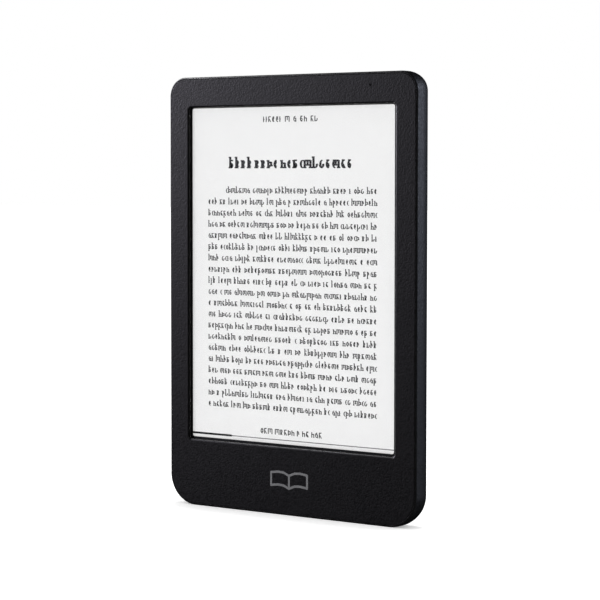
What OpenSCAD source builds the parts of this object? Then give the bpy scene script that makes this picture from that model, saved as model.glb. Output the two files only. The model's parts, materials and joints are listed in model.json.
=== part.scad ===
// E-reader with a recessed six-inch paper-like display.
// Every module is drawn lying on its back: X to the right, Y up the page, Z towards the reader.
// upright() then stands the finished piece on its bottom edge, with the screen facing -Y.

/* [Body] */
// Width across the front
body_w = 112; // [111.5:0.1:114]
// Height of the body, standing on its bottom edge
body_h = 160; // [159.5:0.1:162]
// Thickness of the body
body_t = 9.2; // [9.2:0.1:10]
// Corner radius of the outline at the top
top_corner_r = 7; // [6:0.5:9]
// Corner radius of the outline at the bottom
bottom_corner_r = 11.5; // [10:0.5:14]
// Radius of the front edge all the way round
front_edge_r = 0.8; // [0.6:0.1:0.8]
// Depth of the part of the side that curves in towards the back
curve_depth = 6; // [5.6:0.1:6.2]
// Radius of that gentle curve
side_curve_r = 11; // [10:0.5:12]
// Radius of the back edge, between the gentle curve and the back
back_edge_r = 3; // [2.6:0.1:3.2]
// Depth by which the flat back cuts into that round edge, which leaves a faint crease
back_crease = 0.15; // [0:0.05:0.15]
// Wall thickness of the rear cover
wall = 1.2; // [1.1:0.05:1.2]
// Thickness of the rim of the rear cover that shows round the front bezel
rim_t = 0.75; // [0.7:0.05:0.8]
// Hairline gap between the front bezel and the rim of the rear cover
seam = 0.12; // [0.08:0.01:0.15]

/* [Display] */
// Width of the active area
active_w = 90.8; // [90:0.1:91]
// Height of the active area
active_h = 122.6; // [122:0.1:123]
// Height of the lower edge of the active area above the bottom of the body
active_bottom = 25.85; // [25.5:0.05:26.2]
// Width of page that shows beside the active area, on the left and on the right
page_margin = 0.4; // [0.3:0.05:0.5]
// Width of the black border that shows beside and below the page
border = 0.85; // [0.8:0.05:1.1]
// Width of the black border that shows above the page
border_top = 0.25; // [0.2:0.05:0.6]
// Thickness of the bezel plate
bezel_t = 1; // [0.9:0.05:1]
// Radius of the edge of the window in the bezel
window_edge_r = 0.8; // [0.7:0.02:0.88]
// Corner radius of the window in the bezel
window_corner_r = 1.2; // [1:0.1:2]

/* [Power button] */
// Length of the button on the back
button_w = 9; // [8:0.5:10]
// Height of the button on the back
button_h = 4.6; // [4:0.2:5]
// Travel of the button from rest to the end of the click
button_travel = 0.35; // [0.25:0.05:0.35]
// Gap around the button in the rear cover
button_gap = 0.12; // [0.1:0.01:0.15]
// Distance of the button from the middle, seen from the front
button_x = -37; // [-38:0.5:-34]
// Height of the button above the bottom of the body
button_y = 30; // [29:0.5:32]

/* [Socket] */
// Width of the opening of the charging socket
usb_w = 8.34; // [8.34:0.01:8.36]
// Height of the opening of the charging socket
usb_h = 2.56; // [2.56:0.01:2.58]
// Wall of the metal shell of the socket
usb_wall = 0.3; // [0.25:0.01:0.3]
// Depth of the metal shell of the socket
usb_depth = 7.4; // [7.3:0.1:7.6]

/* [Battery] */
// Width of the battery
battery_w = 62; // [56:1:62]
// Height of the battery
battery_h = 62; // [56:1:66]
// Thickness of the battery
battery_t = 3.4; // [3:0.1:3.4]

/* [Hidden] */
$fn = 64;

// Margin by which a cutter runs past what it cuts
slack = 1;
// Height of the front face and of the back face
front_z = body_t / 2;
back_z = -body_t / 2;
// Where the flat middle of a slab begins, measured in from the outline
flat_inset = 6.4;
strip_end_inset = top_corner_r - 0.2;
inner_back_z = back_z + wall;

// Window in the bezel, at its narrowest
page_half = active_w / 2 + page_margin;
window_w = 2 * (page_half + border);
window_low = active_bottom - border;
window_high = active_bottom + active_h + border_top;
plate_inset = rim_t + seam;
rabbet_gap = 0.08;
bezel_inset = wall + seam;
skirt_t = 1.1;
skirt_inner = bezel_inset + skirt_t;

// Layers from the front to the back
bezel_back_z = front_z - bezel_t;
gasket_t = 0.13;
mask_t = 0.05;
touch_t = 0.4;
guide_t = 0.45;
panel_t = 0.97;
panel_tape_t = 0.1;
frame_t = 0.8;
mask_z = bezel_back_z - gasket_t;
touch_z = mask_z - mask_t;
guide_z = touch_z - touch_t;
panel_z = guide_z - guide_t;
panel_back_z = panel_z - panel_t;
frame_z = panel_back_z - panel_tape_t;
frame_back_z = frame_z - frame_t;

// Outlines of the layers: half width, lowest edge, highest edge
touch_half = 49;
touch_low = 18;
touch_high = 151.6;
guide_half = 48.2;
guide_low = 21.2;
guide_high = 151;
panel_half = 50.9;
panel_low = 14.5;
panel_high = 152.9;

// Frame and its screws
frame_inset = wall + 0.2;
frame_screw_xy = [[-46, 7.6], [-28, 6], [28, 6], [46, 7.6], [-44, 155.4], [0, 155.4], [46, 155.4]];
screw_r = 0.7;
screw_fit = 0.02;
head_r = 1.25;
head_t = 0.4;
boss_r = 1.6;
boss_bore = 1.4;
screw_reach = 1.2;
snap_y = [34, 80, 126];
snap_x = [-30, 30];
snap_len = 6;
snap_reach = 0.42;
snap_h = 0.6;
snap_z = front_z - 2.3;

// Main board
standoff_h = 0.6;
board_t = 0.8;
board_front_z = frame_back_z - standoff_h;
board_back_z = board_front_z - board_t;
board_half = 48;
board_low = 17;
board_high = 47;
tab_half = 14;
tab_low = 2.6;
board_screw_xy = [[-45, 20], [45, 44], [-45, 36.4], [20.4, 44.4], [11, 13]];
shield_w = 34;
shield_h = 20;
shield_low = 24;
shield_t = 1.6;
shield_wall = 0.2;

// Charging socket
usb_z = board_front_z + 0.5;
usb_front_y = 0.5;
usb_clearance = 0.5;
usb_cut_half = usb_w / 2 + usb_wall + 0.1;
tongue_w = 6.69;
tongue_t = 0.7;
tongue_base = 2.2;
contact_count = 12;
contact_pitch = 0.5;
contact_w = 0.25;
contact_t = 0.05;

// Ribbons and their connectors
ribbon_t = 0.14;
ribbon_z = board_back_z - 0.45;
socket_low = 19.5;
socket_t = 1;
display_ribbon_x = 30;
display_ribbon_w = 19;
touch_ribbon_x = -37;
touch_ribbon_w = 8;
light_ribbon_x = -22;
light_ribbon_w = 6;
led_x = 36.1;
led_y = 155.3;
lens_r = 0.38;
lens_gap = 0.04;
lens_recess = 0.08;
led_ribbon_w = 2.4;
led_socket_y = 41.2;

// Battery
battery_low = 58;
circuit_h = 3.2;
battery_front_z = frame_back_z - 0.1;
battery_back_z = battery_front_z - battery_t;
lead_r = 0.42;
lead_pitch = 1.3;
plug_x = -27;
plug_low = 43.6;
plug_high = 49;
lead_z = board_back_z - 0.85;
lead_out_x = -12;

// Button and switch
button_face_z = back_z + 0.1;
flange_z = inner_back_z + 0.04;
flange_t = 0.5;
flange_lip = 0.6;
flange_gap = 0.15;
collar_t = 0.7;
switch_w = 4.2;
switch_t = 1.15;
switch_floor_t = 0.25;
switch_cover_t = 0.15;
dome_r = 1.45;
dome_rise = 0.16;
dome_sheet = 0.06;
dome_gap = 0.03;
plunger_r = 0.8;
plunger_fit = 0.05;
plunger_tip_z = board_back_z - 1.75;
post_end_z = plunger_tip_z - 0.02;
post_r = 1.1;

// Stands a piece that was drawn lying down on its bottom edge
module upright() {
    rotate([90, 0, 0]) children();
}

// Outline of the body seen from the front, moved in by inset
module outline(inset) {
    rt = top_corner_r - inset;
    rb = bottom_corner_r - inset;
    half = body_w / 2 - inset;
    top_x = body_w / 2 - top_corner_r;
    bottom_x = body_w / 2 - bottom_corner_r;
    for (side = [-1, 1]) {
        translate([side * top_x, body_h - top_corner_r]) circle(r = rt);
        translate([side * bottom_x, bottom_corner_r]) circle(r = rb);
    }
    translate([-half, bottom_corner_r]) square([2 * half, body_h - bottom_corner_r - top_corner_r]);
    translate([-top_x, bottom_corner_r]) square([2 * top_x, body_h - bottom_corner_r - inset]);
    translate([-bottom_x, inset]) square([2 * bottom_x, body_h - 2 * inset]);
}

// Rectangle with round corners, from its half width and its lower and upper edges
module round_rect(half, low, high, r) {
    translate([-half + r, low]) square([2 * (half - r), high - low]);
    translate([-half, low + r]) square([2 * half, high - low - 2 * r]);
    for (x = [-half + r, half - r]) {
        for (y = [low + r, high - r]) {
            translate([x, y]) circle(r = r);
        }
    }
}

// Sweeps a flat profile round a rounded rectangle: the profile's x = 0 runs along the outline
module around(half, low, high, rt, rb) {
    top_x = half - rt;
    bottom_x = half - rb;
    side_h = high - low - rt - rb;
    translate([top_x, high - rt, 0]) rotate_extrude(angle = 90) translate([rt, 0]) children();
    translate([-top_x, high - rt, 0]) rotate([0, 0, 90])
        rotate_extrude(angle = 90) translate([rt, 0]) children();
    translate([-bottom_x, low + rb, 0]) rotate([0, 0, 180])
        rotate_extrude(angle = 90) translate([rb, 0]) children();
    translate([bottom_x, low + rb, 0]) rotate([0, 0, 270])
        rotate_extrude(angle = 90) translate([rb, 0]) children();
    translate([half, high - rt, 0]) rotate([90, 0, 0]) linear_extrude(side_h) children();
    translate([-half, low + rb, 0]) rotate([0, 0, 180]) rotate([90, 0, 0])
        linear_extrude(side_h) children();
    translate([-top_x, high, 0]) rotate([0, 0, 90]) rotate([90, 0, 0])
        linear_extrude(2 * top_x) children();
    translate([bottom_x, low, 0]) rotate([0, 0, 270]) rotate([90, 0, 0])
        linear_extrude(2 * bottom_x) children();
}

// What the gentle curve and the back edge take off a square corner, for a wall set in by inset
module back_round(z0, inset) {
    big_r = side_curve_r - inset;
    small_r = back_edge_r - inset;
    depth = curve_depth - inset;
    turn = asin((depth - small_r) / (big_r - small_r));
    middle = (big_r - small_r) * cos(turn) - big_r;
    round_z = z0 - back_crease;
    difference() {
        translate([-depth, round_z - slack]) square([depth + slack, depth + slack]);
        translate([-big_r, round_z + depth]) circle(r = big_r);
    }
    translate([middle, round_z + small_r]) difference() {
        polygon([
            [0, 0], 2 * small_r * [cos(turn), -sin(turn)],
            [2 * small_r, -2 * small_r], [0, -2 * small_r]
        ]);
        circle(r = small_r);
    }
}

// Strip of the edge of a slab, w wide, with its front corner rounded and its back curved in
module edge_strip(w, z0, z1, front_r, inset, curved) {
    difference() {
        translate([-w, z0]) square([w, z1 - z0]);
        if (front_r > 0) {
            difference() {
                translate([-front_r, z1 - front_r]) square(front_r + slack);
                translate([-front_r, z1 - front_r]) circle(r = front_r);
            }
        }
        if (curved) {
            back_round(z0, inset);
        }
    }
}

// Solid slab with the outline of the body, moved in by inset
module slab(inset, z0, z1, front_r, curved) {
    around(
        body_w / 2 - inset, inset, body_h - inset,
        top_corner_r - inset, bottom_corner_r - inset
    ) edge_strip(strip_end_inset - inset, z0, z1, front_r, inset, curved);
    translate([0, 0, z0]) linear_extrude(z1 - z0) outline(flat_inset);
}

// Block given by its lowest corner and its size
module block(x, y, z, w, h, t) {
    translate([x, y, z]) cube([w, h, t]);
}

// Flat package on the back of the main board, given by its middle and its size
module package(x, y, w, h, t) {
    translate([x - w / 2, y - h / 2, board_back_z - t]) cube([w, h, t]);
}

// Flat ring between two rounded rectangles
module flat_ring(z, t, half, low, high, r, in_half, in_low, in_high, in_r) {
    translate([0, 0, z]) linear_extrude(t) difference() {
        round_rect(half, low, high, r);
        round_rect(in_half, in_low, in_high, in_r);
    }
}

// Line with round ends and joints through points, for the side view of a ribbon
module stroke(points, t) {
    for (i = [0 : len(points) - 2]) {
        run = points[i + 1] - points[i];
        translate(points[i]) rotate(atan2(run[1], run[0]))
            translate([0, -t / 2]) square([norm(run), t]);
        if (i > 0) {
            translate(points[i]) circle(r = t / 2, $fn = 16);
        }
    }
}

// Points along an arc, from one angle to another
function arc_points(cx, cy, r, from, to, steps = 6) =
    [for (i = [0 : steps]) [cx + r * cos(from + (to - from) * i / steps),
                            cy + r * sin(from + (to - from) * i / steps)]];

// Ribbon cable of width w centred on x, whose side view (Y to the right, Z up) follows points
module ribbon(x, w, points, t) {
    translate([x - w / 2, 0, 0]) rotate([90, 0, 90]) linear_extrude(w) stroke(points, t);
}

// Route of a ribbon from the display stack, through the frame and round the edge of the board
function ribbon_route(start_y, start_z, turn_y) = concat(
    [[start_y, start_z]],
    arc_points(turn_y + 0.85, start_z - 0.85, 0.85, 90, 180),
    arc_points(turn_y + 0.85, ribbon_z + 0.85, 0.85, 180, 270),
    [[socket_low + 2.2, ribbon_z]]
);

// Pill-shaped outline, w wide and h high
module pill(w, h) {
    square([w - h, h], center = true);
    for (side = [-1, 1]) {
        translate([side * (w - h) / 2, 0]) circle(r = h / 2);
    }
}

// Screw with a cross recess, its head towards the back and its tip towards the front
module screw(x, y, seat_z, reach) {
    translate([x, y, seat_z - head_t]) difference() {
        union() {
            cylinder(r = head_r, h = head_t);
            cylinder(r = screw_r, h = head_t + reach);
        }
        block(-0.8, -0.15, -slack, 1.6, 0.3, slack + 0.25);
        block(-0.15, -0.8, -slack, 0.3, 1.6, slack + 0.25);
    }
}

// Shapes of the window: straight opening, rounded edge
module window_cut() {
    edge = window_edge_r;
    half = window_w / 2;
    translate([0, 0, bezel_back_z - slack]) linear_extrude(bezel_t + 2 * slack)
        round_rect(half, window_low, window_high, window_corner_r);
    around(half, window_low, window_high, window_corner_r, window_corner_r) difference() {
        translate([-0.2, front_z - edge]) square([edge + 0.2, edge + slack]);
        translate([edge, front_z - edge]) circle(r = edge);
    }
}

module front_bezel() {
    color([0.13, 0.13, 0.14]) upright() difference() {
        union() {
            intersection() {
                slab(0, front_z - 2 * front_edge_r, front_z, front_edge_r, false);
                translate([0, 0, bezel_back_z]) linear_extrude(bezel_t + slack) outline(plate_inset);
            }
            translate([0, 0, frame_z]) linear_extrude(bezel_back_z - frame_z) difference() {
                outline(bezel_inset);
                outline(skirt_inner);
            }
            for (p = frame_screw_xy) {
                translate([p[0], p[1], frame_z]) cylinder(r = boss_r, h = bezel_back_z - frame_z);
            }
            snap_hooks(bezel_inset, snap_reach, snap_len, snap_z, snap_h);
        }
        window_cut();
        for (p = frame_screw_xy) {
            translate([p[0], p[1], frame_z - slack])
                cylinder(r = screw_r + screw_fit, h = slack + boss_bore);
        }
        translate([led_x, led_y, 0]) cylinder(r = lens_r + lens_gap, h = front_z + slack);
        block(-7, -slack, frame_z - slack, 14, 2 * slack + skirt_inner, slack + 1.3);
    }
}

// Hooks along the sides, the top and the bottom, reaching outwards from inset
module snap_hooks(inset, reach, length, z, h) {
    for (side = [-1, 1]) {
        for (y = snap_y) {
            translate([side * (body_w / 2 - inset + reach / 2), y, z + h / 2])
                cube([reach, length, h], center = true);
        }
        for (x = snap_x) {
            translate([x, side > 0 ? body_h - inset + reach / 2 : inset - reach / 2, z + h / 2])
                cube([length, reach, h], center = true);
        }
    }
}

module rear_cover() {
    color([0.12, 0.12, 0.13]) upright() difference() {
        union() {
            difference() {
                slab(0, back_z, front_z, front_edge_r, true);
                slab(wall, inner_back_z, front_z + slack, 0, true);
                translate([0, 0, bezel_back_z - rabbet_gap]) linear_extrude(bezel_t + slack) outline(rim_t);
                snap_hooks(wall, 0.5, snap_len + 0.6, snap_z - 0.1, snap_h + 0.2);
            }
            cover_ribs();
            frame_rests();
            button_collar();
        }
        translate([button_x, button_y, back_z - slack]) linear_extrude(wall + 2 * slack)
            pill(button_w + 2 * button_gap, button_h + 2 * button_gap);
        translate([0, wall + slack, usb_z]) rotate([90, 0, 0]) linear_extrude(wall + 3 * slack)
            pill(usb_w + 2 * usb_clearance, usb_h + 2 * usb_clearance);
    }
}

// Low stiffening ribs on the inside of the cover, above the battery and beside it
module cover_ribs() {
    rib_h = 0.9;
    for (y = [130, 138, 146]) {
        block(-44, y, inner_back_z - 0.1, 88, 0.8, rib_h);
    }
    for (x = [-44.8, 44]) {
        block(x, 54, inner_back_z - 0.1, 0.8, 92.8, rib_h);
    }
}

// Short walls on the inside of the cover that the frame rests on
module frame_rests() {
    for (side = [-1, 1]) {
        for (y = [50, 104, 144]) {
            intersection() {
                block(side > 0 ? 50 : -body_w / 2, y, inner_back_z - 0.1,
                      body_w / 2 - 50, 1.2, frame_back_z - inner_back_z + 0.1);
                slab(wall / 2, back_z + wall / 2, front_z, 0, true);
            }
        }
    }
}

// Wall round the flange of the button that keeps it square
module button_collar() {
    inner = button_w + 2 * (flange_lip + flange_gap);
    inner_h = button_h + 2 * (flange_lip + flange_gap);
    translate([button_x, button_y, inner_back_z - 0.1]) linear_extrude(0.9) difference() {
        pill(inner + 2 * collar_t, inner_h + 2 * collar_t);
        pill(inner, inner_h);
    }
}

module mid_frame() {
    color([0.55, 0.56, 0.58]) upright() difference() {
        union() {
            translate([0, 0, frame_back_z]) linear_extrude(frame_t) outline(frame_inset);
            for (p = board_screw_xy) {
                translate([p[0], p[1], board_front_z]) cylinder(r = 1.9, h = standoff_h + 0.1);
            }
        }
        for (p = frame_screw_xy) {
            translate([p[0], p[1], frame_back_z - slack])
                cylinder(r = screw_r + 0.1, h = frame_t + 2 * slack);
        }
        for (p = board_screw_xy) {
            translate([p[0], p[1], board_front_z - slack])
                cylinder(r = screw_r + screw_fit, h = slack + standoff_h + frame_t + slack);
        }
        // Notch for the charging socket and the board behind it
        block(-9, 0, frame_back_z - slack, 18, 10.6, frame_t + 2 * slack);
        // Slots for the ribbons
        ribbon_slot(display_ribbon_x, display_ribbon_w, 11.6, 13.4);
        ribbon_slot(touch_ribbon_x, touch_ribbon_w, 9.4, 11.6);
        ribbon_slot(light_ribbon_x, light_ribbon_w, 9.4, 11.6);
        ribbon_slot(led_x, led_ribbon_w, 153.1, 154.3);
        // Weight-saving holes beside the battery
        for (side = [-1, 1]) {
            for (y = [66, 84, 102, 120]) {
                translate([side * 41, y, frame_back_z - slack]) linear_extrude(frame_t + 2 * slack)
                    pill(7, 4);
            }
        }
    }
}

module ribbon_slot(x, w, low, high) {
    block(x - w / 2 - 0.6, low, frame_back_z - slack, w + 1.2, high - low, frame_t + 2 * slack);
}

module frame_screws() {
    color([0.7, 0.7, 0.72]) upright()
        for (p = frame_screw_xy) {
            screw(p[0], p[1], frame_back_z, frame_t + screw_reach);
        }
}

module board_screws() {
    color([0.7, 0.7, 0.72]) upright()
        for (p = board_screw_xy) {
            screw(p[0], p[1], board_back_z, board_t + standoff_h + frame_t - 0.1);
        }
}

module status_lens() {
    color([0.05, 0.05, 0.06]) upright() translate([led_x, led_y, 0]) {
        translate([0, 0, bezel_back_z - 0.4]) cylinder(r = 0.9, h = 0.4);
        translate([0, 0, bezel_back_z - 1.25]) cylinder(r = 0.6, h = 1);
        translate([0, 0, bezel_back_z - 0.2]) cylinder(r = lens_r, h = bezel_t + 0.2 - lens_recess);
    }
}

module display_gasket() {
    color([0.06, 0.06, 0.06]) upright() flat_ring(
        mask_z, gasket_t, touch_half, touch_low, touch_high, 1.5,
        window_w / 2 + 0.35, window_low - 0.35, window_high + 0.35, window_corner_r
    );
}

module border_mask() {
    color([0.03, 0.03, 0.03]) upright() flat_ring(
        touch_z, mask_t, touch_half, touch_low, touch_high, 1.5,
        page_half, active_bottom, active_bottom + active_h, 0.8
    );
}

module touch_panel() {
    color([0.85, 0.88, 0.9]) upright() translate([0, 0, guide_z]) linear_extrude(touch_t)
        round_rect(touch_half, touch_low, touch_high, 1.5);
}

module light_guide() {
    color([0.9, 0.93, 0.95]) upright() translate([0, 0, panel_z]) linear_extrude(guide_t)
        round_rect(guide_half, guide_low, guide_high, 0.8);
}

module light_strip() {
    color([0.75, 0.45, 0.1]) upright()
        block(-guide_half + 1, guide_low - 3, panel_z, 2 * guide_half - 2, 2.9, 0.08);
}

module light_leds() {
    color([0.95, 0.93, 0.8]) upright()
        for (i = [0 : 8]) {
            block(-42.5 + i * 10, guide_low - 1.2, panel_z + 0.08, 5 / 2, 1.1, 0.34);
        }
}

module epaper_panel() {
    color([0.93, 0.93, 0.92]) upright() translate([0, 0, panel_back_z]) linear_extrude(panel_t)
        round_rect(panel_half, panel_low, panel_high, 0.6);
}

module panel_tape() {
    color([0.2, 0.2, 0.2]) upright() {
        for (x = [-49, 45]) {
            block(x, 24, frame_z, 4, 124, panel_tape_t);
        }
        for (y = [18, 147.6]) {
            block(-40, y, frame_z, 80, 3.6, panel_tape_t);
        }
    }
}

module display_flex() {
    color([0.8, 0.5, 0.15]) upright() ribbon(
        display_ribbon_x, display_ribbon_w,
        ribbon_route(panel_low, panel_z - 0.4, 12.4), ribbon_t
    );
}

module touch_flex() {
    color([0.8, 0.5, 0.15]) upright() ribbon(
        touch_ribbon_x, touch_ribbon_w,
        ribbon_route(touch_low, guide_z + touch_t / 2, 10.4), ribbon_t
    );
}

module light_flex() {
    color([0.8, 0.5, 0.15]) upright() ribbon(
        light_ribbon_x, light_ribbon_w,
        ribbon_route(guide_low - 3, panel_z + 0.04, 10.4), 0.08
    );
}

// Socket for a ribbon on the back of the board, with its mouth towards -Y
module ribbon_socket(x, w) {
    mouth = ribbon_t + 0.06;
    difference() {
        block(x - w / 2 - 1.2, socket_low, board_back_z - socket_t, w + 2.4, 4.2, socket_t);
        block(x - w / 2 - 0.1, socket_low - slack, ribbon_z - mouth / 2, w + 0.2, 2.4 + slack, mouth);
    }
}

module display_connector() {
    color([0.9, 0.88, 0.8]) upright() ribbon_socket(display_ribbon_x, display_ribbon_w);
}

module touch_connector() {
    color([0.9, 0.88, 0.8]) upright() ribbon_socket(touch_ribbon_x, touch_ribbon_w);
}

module light_connector() {
    color([0.9, 0.88, 0.8]) upright() ribbon_socket(light_ribbon_x, light_ribbon_w);
}

module led_connector() {
    mouth = ribbon_t + 0.06;
    color([0.9, 0.88, 0.8]) upright() difference() {
        block(led_x - 2.2, led_socket_y - 3, board_back_z - socket_t, 4.4, 3.2, socket_t);
        block(led_x - 1.3, led_socket_y - 2, ribbon_z - mouth / 2, 2.6, 2.2 + slack, mouth);
    }
}

module status_led() {
    color([0.95, 0.95, 0.9]) upright()
        block(led_x - 0.8, led_y - 0.4, frame_z + ribbon_t, 1.6, 0.8, 0.6);
}

// From under the status light, back through the frame and down to the board
module led_flex() {
    run_z = frame_back_z - 0.14;
    color([0.8, 0.5, 0.15]) upright() ribbon(led_x, led_ribbon_w, concat(
        [[led_y + 1, frame_z + ribbon_t / 2]],
        arc_points(153.95, frame_z - 0.23, 0.3, 90, 180, 4),
        arc_points(153.35, run_z + 0.3, 0.3, 0, -90, 4),
        [[51, run_z], [48.2, ribbon_z], [led_socket_y - 1.8, ribbon_z]]
    ), ribbon_t);
}

module battery_cell() {
    color([0.72, 0.73, 0.75]) upright() translate([0, 0, battery_back_z]) linear_extrude(battery_t)
        round_rect(battery_w / 2, battery_low, battery_low + battery_h, 1.4);
}

module battery_circuit() {
    color([0.1, 0.35, 0.2]) upright()
        block(-22, battery_low - circuit_h, lead_z - 0.4, 32, circuit_h - 0.3, 0.8);
}

// Tape folded over the circuit at the end of the battery
module battery_wrap() {
    color([0.85, 0.65, 0.1]) upright() difference() {
        block(-23, battery_low - circuit_h - 0.1, lead_z - 0.55, 34, circuit_h + 0.1, 1.1);
        block(-22.1, battery_low - circuit_h - 0.2, lead_z - 0.45, 32.2, circuit_h + 0.4, 0.9);
    }
}

// One round lead: up from the plug, across to the right and up into the battery's circuit
module lead(from_x, to_x, turn_y) {
    bend = 1.2;
    end_y = battery_low - circuit_h;
    translate([from_x, plug_high, lead_z]) rotate([-90, 0, 0])
        cylinder(r = lead_r, h = turn_y - bend - plug_high, $fn = 24);
    translate([from_x + bend, turn_y - bend, lead_z]) rotate([0, 0, 90])
        rotate_extrude(angle = 90) translate([bend, 0]) circle(r = lead_r, $fn = 24);
    translate([from_x + bend, turn_y, lead_z]) rotate([0, 90, 0])
        cylinder(r = lead_r, h = to_x - from_x - 2 * bend, $fn = 24);
    translate([to_x - bend, turn_y + bend, lead_z]) rotate([0, 0, 270])
        rotate_extrude(angle = 90) translate([bend, 0]) circle(r = lead_r, $fn = 24);
    translate([to_x, turn_y + bend, lead_z]) rotate([-90, 0, 0])
        cylinder(r = lead_r, h = end_y - turn_y - bend, $fn = 24);
}

module battery_leads() {
    color([0.7, 0.1, 0.1]) upright()
        for (i = [-1 : 1]) {
            lead(plug_x + i * lead_pitch, lead_out_x + i * lead_pitch, 52 - i * lead_pitch);
        }
}

module battery_plug() {
    color([0.92, 0.9, 0.85]) upright()
        block(plug_x - 3, plug_low, lead_z - 0.6, 6, plug_high - plug_low, 1.2);
}

module battery_socket() {
    color([0.9, 0.88, 0.8]) upright() difference() {
        package(plug_x, plug_low + 0.1, 8, 4.6, 1.7);
        block(plug_x - 3.1, plug_low - 0.1, lead_z - 0.7, 6.2, 3, 1.4);
    }
}

module battery_tape() {
    color([0.15, 0.15, 0.15]) upright()
        for (x = [-24, 14]) {
            block(x, battery_low + 5, battery_front_z,
                  10, battery_h - 10, frame_back_z - battery_front_z);
        }
}

module foam_pads() {
    color([0.2, 0.2, 0.2]) upright()
        for (y = [battery_low + 6, battery_low + battery_h - 14]) {
            block(-25, y, inner_back_z, 50, 8, battery_back_z - inner_back_z);
        }
}

module main_board() {
    color([0.06, 0.25, 0.16]) upright() difference() {
        translate([0, 0, board_back_z]) linear_extrude(board_t) difference() {
            union() {
                round_rect(board_half, board_low, board_high, 1);
                translate([-tab_half, tab_low]) square([2 * tab_half, board_low - tab_low + slack]);
            }
            translate([-usb_cut_half, 0]) square([2 * usb_cut_half, usb_front_y + usb_depth + 0.1]);
        }
        for (p = board_screw_xy) {
            translate([p[0], p[1], board_back_z - slack])
                cylinder(r = screw_r + 0.15, h = board_t + 2 * slack);
        }
    }
}

module processor() {
    color([0.15, 0.15, 0.16]) upright() package(-8.5, 34, 13, 13, 1.1);
}

module memory_chip() {
    color([0.13, 0.13, 0.14]) upright() package(7.5, 34, 10, 14, 0.9);
}

module storage_chip() {
    color([0.13, 0.13, 0.14]) upright() package(28, 36, 11.5, 13, 1);
}

module power_chip() {
    color([0.15, 0.15, 0.16]) upright() package(-25, 32, 6, 6, 0.85);
}

module display_power_chip() {
    color([0.15, 0.15, 0.16]) upright() package(43, 30, 5, 5, 0.85);
}

// Radio module with a metal can on a small board
module wireless_module() {
    color([0.75, 0.75, 0.77]) upright() {
        package(-37.3, 41.5, 12, 9, 0.5);
        translate([0, 0, -0.5]) package(-37.3, 41.5, 10.8, 7.8, 1.1);
    }
}

module antenna() {
    color([0.85, 0.85, 0.8]) upright() package(-47 + 1.4, 30, 2, 7, 0.9);
}

module shield_fence() {
    color([0.78, 0.78, 0.8]) upright() translate([0, 0, board_back_z - shield_t + shield_wall])
        linear_extrude(shield_t - shield_wall) difference() {
            round_rect(shield_w / 2, shield_low, shield_low + shield_h, 0.5);
            round_rect(shield_w / 2 - 0.3, shield_low + 0.3, shield_low + shield_h - 0.3, 0.3);
        }
}

module shield_lid() {
    color([0.82, 0.82, 0.84]) upright() translate([0, 0, board_back_z - shield_t]) difference() {
        linear_extrude(shield_wall)
            round_rect(shield_w / 2, shield_low, shield_low + shield_h, 0.5);
        for (x = [-12 : 6 : 12]) {
            for (y = [shield_low + 4 : 6 : shield_low + 16]) {
                translate([x, y, -slack]) cylinder(r = 0.5, h = 3 * slack);
            }
        }
    }
}

module inductors() {
    color([0.25, 0.25, 0.27]) upright()
        for (p = [[-25, 26.8], [39, 36.2], [43, 36.2], [44.2, 25]]) {
            package(p[0], p[1], 3, 3, 1.2);
        }
}

module capacitors() {
    color([0.7, 0.55, 0.35]) upright() {
        for (i = [0 : 6]) {
            package(-15 + i * 2.4, 21.4, 1, 1.8, 0.8);
        }
        for (i = [0 : 4]) {
            package(20.6, 28 + i * 2.6, 1.6, 0.9, 0.8);
        }
        for (i = [0 : 3]) {
            package(-20, 27 + i * 3, 1.6, 0.9, 0.8);
        }
    }
}

module crystal() {
    color([0.8, 0.8, 0.82]) upright() package(6, 21.4, 3.2, 2.5, 0.8);
}

module hall_sensor() {
    color([0.12, 0.12, 0.13]) upright() package(44.6, 20, 2.9, 1.6, 1);
}

module usb_shell() {
    color([0.75, 0.75, 0.77]) upright() {
        translate([0, usb_front_y + usb_depth, usb_z]) rotate([90, 0, 0]) difference() {
            linear_extrude(usb_depth) pill(usb_w + 2 * usb_wall, usb_h + 2 * usb_wall);
            translate([0, 0, usb_wall]) linear_extrude(usb_depth) pill(usb_w, usb_h);
        }
        for (side = [-1, 1]) {
            translate([side * (usb_w / 2 + 1), 5.6, board_front_z + 0.1])
                cube([2.2, 2, 0.2], center = true);
        }
    }
}

// Insulating tongue with its wider base at the back of the shell
module usb_tongue() {
    back_y = usb_front_y + usb_depth - usb_wall;
    color([0.1, 0.1, 0.1]) upright() {
        translate([0, back_y, usb_z]) rotate([90, 0, 0]) linear_extrude(tongue_base)
            pill(usb_w - 0.04, usb_h - 0.04);
        block(-tongue_w / 2, usb_front_y + 0.6, usb_z - tongue_t / 2,
              tongue_w, back_y - tongue_base - usb_front_y, tongue_t);
    }
}

module usb_contacts() {
    contact_len = 3;
    color([0.85, 0.7, 0.3]) upright()
        for (side = [-1, 1]) {
            for (i = [0 : contact_count - 1]) {
                x = (i - (contact_count - 1) / 2) * contact_pitch;
                z = usb_z + side * (tongue_t + contact_t) / 2;
                translate([x, usb_front_y + 1 + contact_len / 2, z])
                    cube([contact_w, contact_len, contact_t], center = true);
            }
        }
}

// Housing of the push switch, a square cup open towards the back
module switch_body() {
    color([0.1, 0.1, 0.1]) upright() difference() {
        package(button_x, button_y, switch_w, switch_w, switch_t);
        translate([button_x, button_y, board_back_z - switch_t - slack])
            cylinder(r = 1.6, h = switch_t + slack - switch_floor_t);
    }
}

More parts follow.
